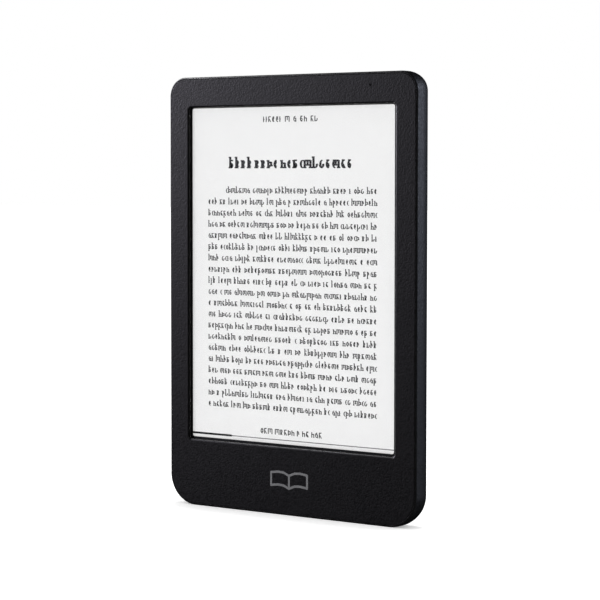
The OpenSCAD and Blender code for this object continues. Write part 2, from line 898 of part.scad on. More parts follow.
module switch_cover() {
    color([0.78, 0.78, 0.8]) upright()
        translate([button_x, button_y, board_back_z - switch_t - switch_cover_t]) difference() {
            translate([-switch_w / 2, -switch_w / 2, 0]) cube([switch_w, switch_w, switch_cover_t]);
            translate([0, 0, -slack]) cylinder(r = plunger_r + plunger_fit, h = 3 * slack);
        }
}

// Spring dome on the floor of the switch housing: a shallow spherical cap of thin metal
module switch_dome() {
    ball_r = (dome_r * dome_r + dome_rise * dome_rise) / (2 * dome_rise);
    floor_z = board_back_z - switch_floor_t;
    color([0.8, 0.8, 0.78]) upright() translate([button_x, button_y, floor_z]) intersection() {
        translate([0, 0, -dome_rise - dome_sheet]) cylinder(r = dome_r, h = dome_rise + dome_sheet);
        difference() {
            translate([0, 0, ball_r - dome_rise - dome_sheet]) sphere(r = ball_r);
            translate([0, 0, ball_r - dome_rise]) sphere(r = ball_r);
        }
    }
}

module switch_plunger() {
    foot_t = 0.14;
    foot_z = board_back_z - switch_floor_t - dome_rise - dome_sheet - dome_gap - button_travel;
    color([0.85, 0.83, 0.75]) upright() translate([button_x, button_y, 0]) {
        translate([0, 0, plunger_tip_z]) cylinder(r = plunger_r, h = foot_z - plunger_tip_z);
        translate([0, 0, foot_z - foot_t]) cylinder(r = 1.4, h = foot_t);
    }
}

// Button cap with a flange inside the cover and a post that reaches the switch
module power_button() {
    color([0.1, 0.1, 0.11]) upright() translate([button_x, button_y, 0]) {
        translate([0, 0, button_face_z]) linear_extrude(flange_z + flange_t - button_face_z)
            pill(button_w, button_h);
        translate([0, 0, flange_z]) linear_extrude(flange_t)
            pill(button_w + 2 * flange_lip, button_h + 2 * flange_lip);
        translate([0, 0, button_face_z + 0.2]) cylinder(r = post_r, h = post_end_z - button_face_z - 0.2);
    }
}

front_bezel();
rear_cover();
mid_frame();
frame_screws();
status_lens();
display_gasket();
border_mask();
touch_panel();
light_guide();
light_strip();
light_leds();
epaper_panel();
panel_tape();
display_flex();
touch_flex();
light_flex();
display_connector();
touch_connector();
light_connector();
led_connector();
status_led();
led_flex();
battery_cell();
battery_circuit();
battery_wrap();
battery_leads();
battery_plug();
battery_socket();
battery_tape();
foam_pads();
main_board();
board_screws();
processor();
memory_chip();
storage_chip();
power_chip();
display_power_chip();
wireless_module();
antenna();
shield_fence();
shield_lid();
inductors();
capacitors();
crystal();
hall_sensor();
usb_shell();
usb_tongue();
usb_contacts();
switch_body();
switch_cover();
switch_dome();
switch_plunger();
power_button();
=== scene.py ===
"""Looks of the e-reader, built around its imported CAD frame.

Lengths are in millimetres, apart from the camera's, the lights' and the floor's, in metres.
"""

import json
import random
from math import asin, cos, degrees, pi, radians, sin, sqrt

import bmesh
import bpy
from mathutils import Matrix, Vector


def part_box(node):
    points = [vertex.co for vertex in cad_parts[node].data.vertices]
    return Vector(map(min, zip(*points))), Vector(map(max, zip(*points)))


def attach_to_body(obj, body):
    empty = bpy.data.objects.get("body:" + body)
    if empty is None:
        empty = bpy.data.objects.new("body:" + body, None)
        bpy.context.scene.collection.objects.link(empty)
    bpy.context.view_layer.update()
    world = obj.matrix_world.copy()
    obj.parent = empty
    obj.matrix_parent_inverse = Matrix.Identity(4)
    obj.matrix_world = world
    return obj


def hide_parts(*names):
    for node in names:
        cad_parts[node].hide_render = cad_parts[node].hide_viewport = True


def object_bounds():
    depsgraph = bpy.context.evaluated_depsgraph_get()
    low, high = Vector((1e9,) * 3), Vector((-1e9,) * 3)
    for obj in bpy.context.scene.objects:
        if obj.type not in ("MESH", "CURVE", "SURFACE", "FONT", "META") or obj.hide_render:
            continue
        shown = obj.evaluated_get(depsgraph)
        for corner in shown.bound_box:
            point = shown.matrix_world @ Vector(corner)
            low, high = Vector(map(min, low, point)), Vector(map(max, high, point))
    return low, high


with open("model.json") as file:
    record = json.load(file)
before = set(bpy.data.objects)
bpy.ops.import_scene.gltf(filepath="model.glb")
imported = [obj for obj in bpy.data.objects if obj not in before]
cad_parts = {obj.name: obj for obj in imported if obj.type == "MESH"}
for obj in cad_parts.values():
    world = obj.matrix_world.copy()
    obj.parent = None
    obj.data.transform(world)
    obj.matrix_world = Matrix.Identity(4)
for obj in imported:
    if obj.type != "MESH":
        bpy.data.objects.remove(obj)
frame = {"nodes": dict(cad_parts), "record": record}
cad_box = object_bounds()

MM = 0.001
WHITE = (1.0, 1.0, 1.0)
OPAQUE = 1.0

# Body, from the frame
half_w = cad_box[1].x / MM
body_h = cad_box[1].z / MM
front_y = cad_box[0].y / MM
back_y = cad_box[1].y / MM

# Body outline and edges
TOP_CORNER_R = 7.0
BOTTOM_CORNER_R = 11.5
FRONT_EDGE_R = 0.8
CURVE_DEPTH = 6.0
SIDE_CURVE_R = 11.0
BACK_EDGE_R = 3.0
BACK_CREASE = 0.15
WALL = 1.2
RIM = 0.75
SEAM = 0.12
RABBET_GAP = 0.08
LIP_R = 0.1
ARC_STEPS = 24

# Bezel and its window
bezel_back_y = front_y + 1.0
skirt_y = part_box("front_bezel")[1].y / MM
SKIRT_T = 1.1
PAGE_HALF = 45.8
PAGE_LOW = 25.85
PAGE_HIGH = 148.45
BORDER = 0.85
BORDER_TOP = 0.25
WINDOW_EDGE_R = 0.8
WINDOW_CORNER_R = 1.2
LENS_HOLE_R = 0.42
LENS_HOLE_SIDES = 32

# Charging socket, button
usb_y = (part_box("usb_shell")[0].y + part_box("usb_shell")[1].y) / 2 / MM
USB_HOLE_W = 9.34
USB_HOLE_H = 3.56
BUTTON_W = 9.0
BUTTON_H = 4.6
BUTTON_GAP = 0.12
button_low, button_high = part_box("power_button")
button_x = (button_low.x + button_high.x) / 2 / MM
button_z = (button_low.z + button_high.z) / 2 / MM

# Printed page
page_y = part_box("epaper_panel")[0].y / MM
INK_T = 0.012
INK_SINK = 0.3 * INK_T
TEXT_LEFT = -38.7
TEXT_RIGHT = 37.9
INDENT = 8.3
FIRST_BASELINE = 117.1
LINE_PITCH = 4.18
LINE_COUNT = 20


# ---------------------------------------------------------------- camera and light

# Camera: its place in metres, its turn in degrees
CAMERA_PLACE = (0.4871, -0.6446, 0.1235)
CAMERA_YAW = -36.973
CAMERA_PITCH = 3.194
CAMERA_ROLL = 0.053
FOCAL_LENGTH = 133.58
SENSOR_WIDTH = 36.0


def place_camera():
    """Camera at the photograph's angle, by its right, up and forward directions."""
    data = bpy.data.cameras.new("camera")
    camera = bpy.data.objects.new("camera", data)
    bpy.context.scene.collection.objects.link(camera)
    data.sensor_width = SENSOR_WIDTH
    data.lens = FOCAL_LENGTH
    data.clip_start = 0.05
    data.clip_end = 50.0
    yaw = Matrix.Rotation(radians(CAMERA_YAW), 3, "Z")
    pitch = Matrix.Rotation(radians(CAMERA_PITCH), 3, "X")
    roll = Matrix.Rotation(radians(CAMERA_ROLL), 3, "Y")
    right, forward, up = roll @ pitch @ yaw
    basis = Matrix((right, up, -forward)).transposed()
    camera.matrix_world = Matrix.Translation(CAMERA_PLACE) @ basis.to_4x4()
    bpy.context.scene.camera = camera


def softbox(name, position, target, size, power, color):
    """Rectangular light that shines from position to target."""
    data = bpy.data.lights.new(name, "AREA")
    data.shape = "RECTANGLE"
    data.size, data.size_y = size
    data.energy = power
    data.color = color
    light = bpy.data.objects.new(name, data)
    bpy.context.scene.collection.objects.link(light)
    light.location = position
    direction = Vector(target) - Vector(position)
    light.rotation_euler = direction.to_track_quat("-Z", "Y").to_euler()
    light.visible_camera = False
    return light


def light_scene():
    """White light all round, soft boxes that show in the gloss, and a lamp overhead for the floor."""
    world = bpy.data.worlds.new("white_surroundings")
    bpy.context.scene.world = world
    world.use_nodes = True
    background = world.node_tree.nodes["Background"]
    background.inputs["Color"].default_value = (*WHITE, OPAQUE)
    background.inputs["Strength"].default_value = 1.0
    world.cycles_visibility.glossy = False
    face_top_left = (-0.05, 0.0, 0.13)
    side_top = (0.056, 0.0, 0.11)
    window_sill = (0.0, -0.004, 0.025)
    boxes = (
        softbox(
            "key_box", position=(-0.624, -0.208, 0.237), target=face_top_left,
            size=(0.366, 0.066), power=2.32, color=(1.0, 0.96, 1.12),
        ),
        softbox(
            "side_box", position=(0.542, 0.408, 0.304), target=side_top,
            size=(0.20, 0.42), power=2.26, color=(0.88, 0.95, 1.16),
        ),
        softbox(
            "rim_box", position=(-0.46, 0.58, 0.06), target=face_top_left,
            size=(0.24, 0.24), power=2.4, color=WHITE,
        ),
        softbox(
            "sill_box", position=(-0.18, -0.02, 0.265), target=window_sill,
            size=(0.12, 0.05), power=0.30, color=(1.0, 1.0, 1.04),
        ),
    )
    for box in boxes:
        box.visible_diffuse = False
    overhead = softbox(
        "overhead_box", position=(0.0, 0.10, 1.2), target=(0.0, -0.005, 0.0),
        size=(0.5, 0.13), power=4.9, color=WHITE,
    )
    overhead.visible_glossy = False
    bpy.context.scene.view_settings.view_transform = "Standard"
    bpy.context.scene.cycles.transparent_max_bounces = 24


# ---------------------------------------------------------------- materials

def node_of(tree, kind, **values):
    """New node with the given attributes or socket values."""
    node = tree.nodes.new(kind)
    for name, value in values.items():
        if name in node.inputs:
            node.inputs[name].default_value = value
        else:
            setattr(node, name, value)
    return node


# Stretches of the noise that the colour ramp and the gloss make use of
SHADE_FROM = 0.45
SHADE_TO = 1.05
GRAIN_FROM = 0.3
GRAIN_TO = 0.7


def noise_pair(tree, stretch, clouds, grain):
    """Coarse and fine noise in the object's own coordinates."""
    place = node_of(tree, "ShaderNodeTexCoord")
    scaling = node_of(tree, "ShaderNodeMapping")
    scaling.inputs["Scale"].default_value = stretch
    tree.links.new(place.outputs["Object"], scaling.inputs["Vector"])
    cloud = node_of(tree, "ShaderNodeTexNoise", Scale=clouds, Detail=4.0, Roughness=0.6)
    fine = node_of(tree, "ShaderNodeTexNoise", Scale=grain, Detail=2.0, Roughness=0.5)
    for noise in (cloud, fine):
        tree.links.new(scaling.outputs["Vector"], noise.inputs["Vector"])
    return cloud, fine


def cloud_color(tree, cloud, fine, color, spread):
    """Base colour that drifts round color by a share of spread, with the grain in it."""
    blend = node_of(tree, "ShaderNodeMath", operation="MULTIPLY_ADD")
    tree.links.new(fine.outputs["Fac"], blend.inputs[0])
    blend.inputs[1].default_value = 0.5
    tree.links.new(cloud.outputs["Fac"], blend.inputs[2])
    shades = node_of(tree, "ShaderNodeValToRGB")
    ends = shades.color_ramp.elements
    ends[0].position = SHADE_FROM
    ends[1].position = SHADE_TO
    ends[0].color = [c * (1 - spread) for c in color] + [OPAQUE]
    ends[1].color = [min(1.0, c * (1 + spread)) for c in color] + [OPAQUE]
    tree.links.new(blend.outputs["Value"], shades.inputs["Fac"])
    return shades.outputs["Color"]


def uneven_gloss(tree, fine, roughness, rough_spread):
    """Roughness that varies with the grain."""
    gloss = node_of(tree, "ShaderNodeMapRange")
    gloss.inputs["From Min"].default_value = GRAIN_FROM
    gloss.inputs["From Max"].default_value = GRAIN_TO
    gloss.inputs["To Min"].default_value = roughness - rough_spread
    gloss.inputs["To Max"].default_value = roughness + rough_spread
    tree.links.new(fine.outputs["Fac"], gloss.inputs["Value"])
    return gloss.outputs["Result"]


def finish_material(
    name, color, roughness, metallic=0.0, spread=0.10, clouds=30.0, grain=2600.0,
    grain_depth=0.02, rough_spread=0.06, stretch=(1.0, 1.0, 1.0), sockets=None,
):
    """Moulded, cast, plated or printed finish: colour clouds, grain in the bump and uneven gloss.

    clouds and grain are counts per metre, and grain_depth is in millimetres.
    """
    material = bpy.data.materials.new(name)
    material.use_nodes = True
    tree = material.node_tree
    link = tree.links.new
    shader = tree.nodes["Principled BSDF"]
    cloud, fine = noise_pair(tree, stretch, clouds, grain)
    link(cloud_color(tree, cloud, fine, color, spread), shader.inputs["Base Color"])
    link(uneven_gloss(tree, fine, roughness, rough_spread), shader.inputs["Roughness"])
    bump = node_of(tree, "ShaderNodeBump", Strength=1.0, Distance=grain_depth * MM)
    link(fine.outputs["Fac"], bump.inputs["Height"])
    link(bump.outputs["Normal"], shader.inputs["Normal"])
    shader.inputs["Metallic"].default_value = metallic
    for socket, value in (sockets or {}).items():
        shader.inputs[socket].default_value = value
    return material


def casing_materials():
    """Casing, button and the lens of the status light."""
    make = finish_material
    return {
        "bezel_plastic": make(
            "bezel_plastic_look", (0.0016, 0.0016, 0.0018), 0.52, spread=0.35, clouds=60, grain=1650,
            grain_depth=0.095, rough_spread=0.12, sockets={"IOR": 1.49},
        ),
        "cover_plastic": make(
            "cover_plastic_look", (0.0028, 0.0030, 0.0036), 0.50, spread=0.30, clouds=60, grain=1650,
            grain_depth=0.095, rough_spread=0.12, sockets={"IOR": 1.50},
        ),
        "button_plastic": make(
            "button_plastic_look", (0.0100, 0.0102, 0.0110), 0.36, spread=0.15,
            grain=3500, grain_depth=0.008,
        ),
        "lens_plastic": make(
            "lens_plastic_look", (0.006, 0.006, 0.007), 0.16, grain_depth=0.002, rough_spread=0.03,
        ),
    }


def display_materials():
    """Display stack, page with a painted glow, and ink."""
    make = finish_material
    film = {"Alpha": 0.02, "IOR": 1.2}
    # The page's white emission is painted light: the page glows so that it stays evenly bright right up
    # to the window's border, where it would otherwise be shaded.
    page_painted_glow = {"IOR": 1.3, "Emission Color": (*WHITE, OPAQUE), "Emission Strength": 0.565}
    return {
        "mask_film": make(
            "mask_film_look", (0.0025, 0.0025, 0.0028), 0.48,
            grain=5000, grain_depth=0.004, rough_spread=0.04,
        ),
        "touch_film": make(
            "touch_film_look", (0.25, 0.26, 0.27), 0.40, grain=5200, grain_depth=0.003, sockets=film,
        ),
        "guide_film": make(
            "guide_film_look", (0.25, 0.26, 0.27), 0.30, grain=1400, grain_depth=0.002, sockets=film,
        ),
        "page_surface": make(
            "page_surface_look", (0.30, 0.30, 0.30), 0.75, spread=0.012, clouds=25, grain=4200,
            grain_depth=0.004, rough_spread=0.05, sockets=page_painted_glow,
        ),
        "black_foam": make(
            "black_foam_look", (0.018, 0.018, 0.018), 0.88, spread=0.35, grain=3000, grain_depth=0.12,
        ),
    }


def metal_materials():
    """Frame, screws, shields, contacts and the battery's foil."""
    make = finish_material
    return {
        "frame_alloy": make(
            "frame_alloy_look", (0.48, 0.49, 0.50), 0.46, metallic=1.0, grain=3200, grain_depth=0.03,
        ),
        "steel": make(
            "steel_look", (0.55, 0.55, 0.56), 0.28, metallic=1.0, grain=2500, grain_depth=0.006,
            stretch=(1.0, 1.0, 0.2),
        ),
        "shield_metal": make(
            "shield_metal_look", (0.62, 0.62, 0.63), 0.30, metallic=1.0, grain=1500, grain_depth=0.008,
            stretch=(1.0, 1.0, 0.12),
        ),
        "gold_contact": make(
            "gold_contact_look", (0.83, 0.62, 0.25), 0.24, metallic=1.0, grain=4000, grain_depth=0.004,
        ),
        "battery_foil": make(
            "battery_foil_look", (0.50, 0.51, 0.53), 0.34, metallic=0.9, grain=1100, grain_depth=0.05,
        ),
    }


def board_materials():
    """Board, packages, connectors, ribbons and leads."""
    make = finish_material
    return {
        "circuit_board": make(
            "circuit_board_look", (0.015, 0.075, 0.045), 0.30, spread=0.30, clouds=400, grain=1200,
            grain_depth=0.02, sockets={"Coat Weight": 0.4, "Coat Roughness": 0.15},
        ),
        "chip_resin": make(
            "chip_resin_look", (0.030, 0.030, 0.032), 0.55, spread=0.18, grain=4000, grain_depth=0.02,
        ),
        "ceramic": make("ceramic_look", (0.45, 0.33, 0.20), 0.35, spread=0.20, clouds=500),
        "connector_plastic": make("connector_plastic_look", (0.72, 0.68, 0.58), 0.48, spread=0.06),
        "socket_plastic": make("socket_plastic_look", (0.014, 0.014, 0.014), 0.50, spread=0.15),
        "flex_film": make(
            "flex_film_look", (0.42, 0.20, 0.04), 0.26, spread=0.25, clouds=900, stretch=(4.0, 1.0, 0.4),
            sockets={"Coat Weight": 0.5, "Coat Roughness": 0.12},
        ),
        "amber_tape": make(
            "amber_tape_look", (0.55, 0.30, 0.04), 0.22, spread=0.12, sockets={"Coat Weight": 0.6},
        ),
        "lead_insulation": make("lead_insulation_look", (0.45, 0.02, 0.02), 0.40, spread=0.10),
        "led_body": make("led_body_look", (0.80, 0.76, 0.55), 0.30, spread=0.08),
    }


def make_materials():
    """One material for each slot of the record."""
    return casing_materials() | display_materials() | metal_materials() | board_materials()


def edge_material():
    """Polished round edge of the window, from the same black plastic."""
    return finish_material(
        "bezel_edge_look", (0.0020, 0.0020, 0.0023), 0.38, spread=0.15, grain=3000, grain_depth=0.004,
    )


def mark_material():
    """Grey pad print of the mark on the bezel."""
    return finish_material(
        "grey_print_look", (0.125, 0.125, 0.132), 0.55, spread=0.12, grain=3200, grain_depth=0.010,
    )


def floor_material():
    """White paper sweep, bright as a lit studio floor."""
    sockets = {
        "Emission Color": (*WHITE, OPAQUE),
        "Emission Strength": 0.33,
        "Specular IOR Level": 0.0,
    }
    return finish_material(
        "studio_floor_look", (0.92, 0.92, 0.92), 0.9, spread=0.01, clouds=3, grain=300, grain_depth=0.0,
        sockets=sockets,
    )


# ---------------------------------------------------------------- mesh helpers

def rounded_outline(half, low, high, top_r, bottom_r, y):
    """Points round a rounded rectangle at depth y, anticlockwise from its lower right corner."""
    corners = (
        (half - bottom_r, low + bottom_r, bottom_r, -90),
        (half - top_r, high - top_r, top_r, 0),
        (top_r - half, high - top_r, top_r, 90),
        (bottom_r - half, low + bottom_r, bottom_r, 180),
    )
    points = []
    for x, z, r, start in corners:
        for i in range(ARC_STEPS + 1):
            angle = radians(start + 90 * i / ARC_STEPS)
            points.append((x + r * cos(angle), y, z + r * sin(angle)))
    return points


def body_outline(inset, y):
    """Outline of the body, moved in by inset, at depth y."""
    return rounded_outline(
        half_w - inset, inset, body_h - inset, TOP_CORNER_R - inset, BOTTOM_CORNER_R - inset, y
    )


def window_outline(offset, y):
    """Outline of the window at its narrowest, moved out by offset, at depth y."""
    r = WINDOW_CORNER_R + offset
    return rounded_outline(
        PAGE_HALF + BORDER + offset, PAGE_LOW - BORDER - offset, PAGE_HIGH + BORDER_TOP + offset, r, r, y
    )


def pill_outline(width, height, centre, place, steps=16):
    """Points round a pill; place(u, v) turns its flat coordinates into a point."""
    r = height / 2
    points = []
    for side in (1, -1):
        for i in range(steps + 1):
            angle = radians(-90 * side + 180 * i / steps)
            u = centre[0] + side * (width / 2 - r) + r * cos(angle)
            v = centre[1] + r * sin(angle)
            points.append(place(u, v))
    return points


def arc(centre_a, centre_b, r, start, end, steps):
    """Points (a, b) along an arc, angles in degrees."""
    out = []
    for i in range(steps + 1):
        angle = radians(start + (end - start) * i / steps)
        out.append((centre_a + r * cos(angle), centre_b + r * sin(angle)))
    return out


def add_ring(bm, points):
    """Vertices at a row of points."""
    return [bm.verts.new(Vector(p) * MM) for p in points]


def bridge(bm, ring_a, ring_b):
    """Quads between two rings with the same number of points."""
    count = len(ring_a)
    for i in range(count):
        j = (i + 1) % count
        bm.faces.new((ring_a[i], ring_a[j], ring_b[j], ring_b[i]))


def bridge_all(bm, rings, closed=False):
    """Quads between each ring and the next, and from the last to the first if closed."""
    pairs = list(zip(rings, rings[1:]))
    if closed:
        pairs.append((rings[-1], rings[0]))
    for ring_a, ring_b in pairs:
        bridge(bm, ring_a, ring_b)


def ring_edges(bm, ring):
    """Edges round a ring, made where they are missing."""
    count = len(ring)
    found = []
    for i in range(count):
        pair = (ring[i], ring[(i + 1) % count])
        found.append(bm.edges.get(pair) or bm.edges.new(pair))
    return found


def to_object(bm, name, material=None):
    """Object from a bmesh, with its faces turned outwards and the bmesh freed."""
    bmesh.ops.recalc_face_normals(bm, faces=bm.faces)
    mesh = bpy.data.meshes.new(name)
    bm.to_mesh(mesh)
    bm.free()
    piece = bpy.data.objects.new(name, mesh)
    bpy.context.scene.collection.objects.link(piece)
    if material:
        mesh.materials.append(material)
    return piece


def bake_modifiers(piece):
    """Applies the piece's modifiers to its mesh."""
    bpy.context.view_layer.update()
    evaluated = piece.evaluated_get(bpy.context.evaluated_depsgraph_get())
    mesh = bpy.data.meshes.new_from_object(evaluated)
    old = piece.data
    piece.modifiers.clear()
    piece.data = mesh
    bpy.data.meshes.remove(old)
    mesh.name = piece.name


def cut(piece, *cutters):
    """Cuts closed meshes out of a piece, and removes them."""
    for cutter in cutters:
        modifier = piece.modifiers.new("cut", "BOOLEAN")
        modifier.operation = "DIFFERENCE"
        modifier.solver = "EXACT"
        modifier.object = cutter
    bake_modifiers(piece)
    for cutter in cutters:
        bpy.data.meshes.remove(cutter.data)


def smooth(piece, angle=32.0):
    """Smooth shading with crisp edges, weighted so that flat faces stay flat."""
    piece.data.shade_smooth()
    piece.data.set_sharp_from_angle(angle=radians(angle))
    modifier = piece.modifiers.new("weighted", "WEIGHTED_NORMAL")
    modifier.keep_sharp = True
    bake_modifiers(piece)


def stack(name, outlines):
    """Closed mesh from a stack of outlines of equal count, capped at both ends."""
    bm = bmesh.new()
    rings = [add_ring(bm, points) for points in outlines]
    bridge_all(bm, rings)
    bm.faces.new(rings[0])
    bm.faces.new(rings[-1])
    return to_object(bm, name)


def attach(piece, body, slot, *nodes):
    """Rides on a body and stands for the given CAD nodes; slot is not used."""
    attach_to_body(piece, body)
    if nodes:
        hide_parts(*nodes)


# ---------------------------------------------------------------- casing

def side_profile(inset):
    """Side of the cover, from the start of its curve to the crease at the back, set in by inset."""
    turn = asin((CURVE_DEPTH - BACK_EDGE_R) / (SIDE_CURVE_R - BACK_EDGE_R))
    middle = SIDE_CURVE_R - (SIDE_CURVE_R - BACK_EDGE_R) * cos(turn)
    start = 180 - degrees(turn)
    round_y = back_y + BACK_CREASE
    end = 180 - degrees(asin(1 - BACK_CREASE / (BACK_EDGE_R - inset)))
    gentle = arc(SIDE_CURVE_R, round_y - CURVE_DEPTH, SIDE_CURVE_R - inset, 180, start, 10)
    edge = arc(middle, round_y - BACK_EDGE_R, BACK_EDGE_R - inset, start, end, 12)
    return gentle + edge[1:]


def lens_hole():
    """Cutter for the hole over the status light, with a small chamfer at the front face."""
    lens_low, lens_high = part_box("status_lens")
    middle_x = (lens_low.x + lens_high.x) / 2 / MM
    middle_z = (lens_low.z + lens_high.z) / 2 / MM
    # Depths along the hole, each with how much wider it is there
    levels = (
        (front_y - 0.3, 0.40),
        (front_y - 0.01, 0.12),
        (front_y + 0.10, 0.0),
        (bezel_back_y + 0.3, 0.0),
    )
    turn = [2 * pi * i / LENS_HOLE_SIDES for i in range(LENS_HOLE_SIDES)]
    hole = []
    for y, wider in levels:
        r = LENS_HOLE_R + wider
        hole.append([(middle_x + r * cos(a), y, middle_z + r * sin(a)) for a in turn])
    return stack("lens_hole", hole)


def build_bezel(material, edge_material):
    """Front bezel: flat face with a small round at the seam, a rounded window and a skirt behind."""
    outer = RIM + SEAM
    inner = WALL + SEAM + SKIRT_T
    profile = [(WALL + SEAM, skirt_y), (WALL + SEAM, bezel_back_y), (outer, bezel_back_y)]
    profile += arc(outer + LIP_R, front_y + LIP_R, LIP_R, 180, 270, 4)
    bm = bmesh.new()
    rings = [add_ring(bm, body_outline(inset, y)) for inset, y in profile]
    window = arc(WINDOW_EDGE_R, front_y + WINDOW_EDGE_R, WINDOW_EDGE_R, -90, -180, 10)
    window_rings = [add_ring(bm, window_outline(offset, y)) for offset, y in window]
    window_rings.append(add_ring(bm, window_outline(0.0, bezel_back_y)))
    rings += window_rings
    rings.append(add_ring(bm, body_outline(inner, bezel_back_y)))
    rings.append(add_ring(bm, body_outline(inner, skirt_y)))
    bridge_all(bm, rings, closed=True)
    edge_verts = {v for ring in window_rings for v in ring}
    for face in bm.faces:
        if edge_verts.issuperset(face.verts):
            face.material_index = 1
    bezel = to_object(bm, "bezel_shell", material)
    bezel.data.materials.append(edge_material)
    cut(bezel, lens_hole())
    smooth(bezel)
    attach(bezel, "housing", "bezel_plastic", "front_bezel")


# Round at the outer edge of the button's hole, as turns from the back face in radians
HOLE_EDGE_R = 0.15
HOLE_EDGE_TURNS = (0.0, 0.52, 1.05, 1.571)
# Heights along the socket's opening, each with how much wider it is there
SOCKET_LEVELS = ((-0.6, 0.6), (0.0, 0.22), (0.22, 0.0), (WALL + 1.0, 0.0))
# Field of dimples on the back; a dimple is a row of rings, each a radius and a depth
GRIP_CELL = 1.55
GRIP_COLUMNS = 57
GRIP_ROWS = 81
GRIP_LOW = 13.5
DIMPLE_RINGS = ((0.46, 0.0), (0.34, 0.055), (0.16, 0.085))


def button_clear(x, z, margin=1.6):
    """True if a grip cell is clear of the button."""
    reach_x = BUTTON_W / 2 + margin
    reach_z = BUTTON_H / 2 + margin
    return abs(x - button_x) > reach_x or abs(z - button_z) > reach_z


def cover_profile(rabbet_y):
    """Outside of the cover as (inset, y): up its front lip, round the front edge, along the side."""
    lip_rise = FRONT_EDGE_R - RIM + LIP_R
    lip_y = front_y + FRONT_EDGE_R - sqrt(FRONT_EDGE_R**2 - lip_rise**2)
    profile = [(RIM, rabbet_y)] + arc(RIM - LIP_R, lip_y + LIP_R, LIP_R, 0, -80, 5)
    start = degrees(asin(lip_rise / FRONT_EDGE_R))
    profile += arc(FRONT_EDGE_R, front_y + FRONT_EDGE_R, FRONT_EDGE_R, 270 - start, 180, 8)[1:]
    return profile + side_profile(0.0)


def button_hole(bm):
    """Wall of the button's hole, with a small round at its outer edge. Returns its rings."""
    hole_w = BUTTON_W + 2 * BUTTON_GAP
    hole_h = BUTTON_H + 2 * BUTTON_GAP
    r = HOLE_EDGE_R
    levels = [(r - r * sin(a), back_y - r + r * cos(a)) for a in HOLE_EDGE_TURNS]
    levels.append((0.0, back_y - WALL))
    hole = []
    for wider, y in levels:
        hole.append(add_ring(bm, pill_outline(
            hole_w + 2 * wider, hole_h + 2 * wider, (button_x, button_z), lambda u, v: (u, y, v)
        )))
    bridge_all(bm, hole)
    return hole


def socket_hole():
    """Cutter for the charging socket's opening, with a chamfer at the bottom edge."""
    socket = []
    for z, wider in SOCKET_LEVELS:
        socket.append(pill_outline(
            USB_HOLE_W + 2 * wider, USB_HOLE_H + 2 * wider, (0.0, usb_y), lambda u, v: (u, v, z)
        ))
    return stack("socket_hole", socket)


def build_cover(material):
    """Rear cover: side wall with its front lip, round back edge, back face with grip dimples."""
    bm = bmesh.new()
    rabbet_y = bezel_back_y + RABBET_GAP
    outside = [add_ring(bm, body_outline(inset, y)) for inset, y in cover_profile(rabbet_y)]
    hollow = side_profile(WALL)[::-1]
    hollow.append((WALL, rabbet_y))
    inside = [add_ring(bm, body_outline(inset, y)) for inset, y in hollow]
    bridge_all(bm, outside)
    bridge_all(bm, inside)
    bridge(bm, inside[-1], outside[0])
    hole = button_hole(bm)

    field_edges = grip_field(bm)
    back_loops = ring_edges(bm, outside[-1]) + ring_edges(bm, hole[0]) + field_edges
    bmesh.ops.triangle_fill(bm, use_beauty=True, edges=back_loops, normal=(0, 1, 0))
    inner_loops = ring_edges(bm, inside[0]) + ring_edges(bm, hole[-1])
    bmesh.ops.triangle_fill(bm, use_beauty=True, edges=inner_loops, normal=(0, -1, 0))
    cover = to_object(bm, "cover_shell", material)
    cut(cover, socket_hole())
    smooth(cover)
    attach(cover, "housing", "cover_plastic", "rear_cover")


def grip_dimple(bm, x, z, square):
    """Shallow eight-sided dimple in a square cell with its middle at (x, z)."""
    rings = []
    for r, depth in DIMPLE_RINGS:
        angles = [radians(225 + 45 * k) for k in range(8)]
        points = [(x + r * cos(a), back_y - depth, z + r * sin(a)) for a in angles]
        rings.append(add_ring(bm, points))
    bridge_all(bm, rings)
    bm.faces.new(rings[-1])
    rim = rings[0]
    for k in range(4):
        a, b = square[k], square[(k + 1) % 4]
        near, middle, far = rim[2 * k], rim[2 * k + 1], rim[(2 * k + 2) % 8]
        bm.faces.new((a, middle, near))
        bm.faces.new((a, b, middle))
        bm.faces.new((b, far, middle))


def grip_field(bm):
    """Grid of square cells on the back, with a dimple in every other one. Returns its edges."""
    left = -GRIP_COLUMNS * GRIP_CELL / 2
    points = {}
    used = {}

    def corner(i, j):
        if (i, j) not in points:
            place = (left + i * GRIP_CELL, back_y, GRIP_LOW + j * GRIP_CELL)
            points[i, j] = bm.verts.new(Vector(place) * MM)
        return points[i, j]

    for i in range(GRIP_COLUMNS):
        for j in range(GRIP_ROWS):
            x = left + (i + 0.5) * GRIP_CELL
            z = GRIP_LOW + (j + 0.5) * GRIP_CELL
            if not button_clear(x, z):
                continue
            square = [corner(i, j), corner(i + 1, j), corner(i + 1, j + 1), corner(i, j + 1)]
            used[i, j] = square
            if (i + j) % 2:
                bm.faces.new(square)
            else:
                grip_dimple(bm, x, z, square)
    edge_loop = []
    for (i, j), square in used.items():
        for k, (di, dj) in enumerate(((0, -1), (1, 0), (0, 1), (-1, 0))):
            if (i + di, j + dj) not in used:
                edge_loop.append(bm.edges.get((square[k], square[(k + 1) % 4])))
    return edge_loop


# Button cap: dish as insets and depths, round of its edge, flange inside the cover, post
DISH_LEVELS = ((2.1, 0.07), (1.5, 0.06), (1.0, 0.03))
CAP_EDGE_R = 0.35
CAP_EDGE_STEPS = 6
FLANGE_GAP = 0.04
FLANGE_T = 0.5
FLANGE_REACH = 0.6
POST_R = 1.1


def button_level(inset, y):
    """Outline of the button, moved in by inset, at depth y."""
    return pill_outline(
        BUTTON_W - 2 * inset, BUTTON_H - 2 * inset, (button_x, button_z), lambda u, v: (u, y, v)
    )


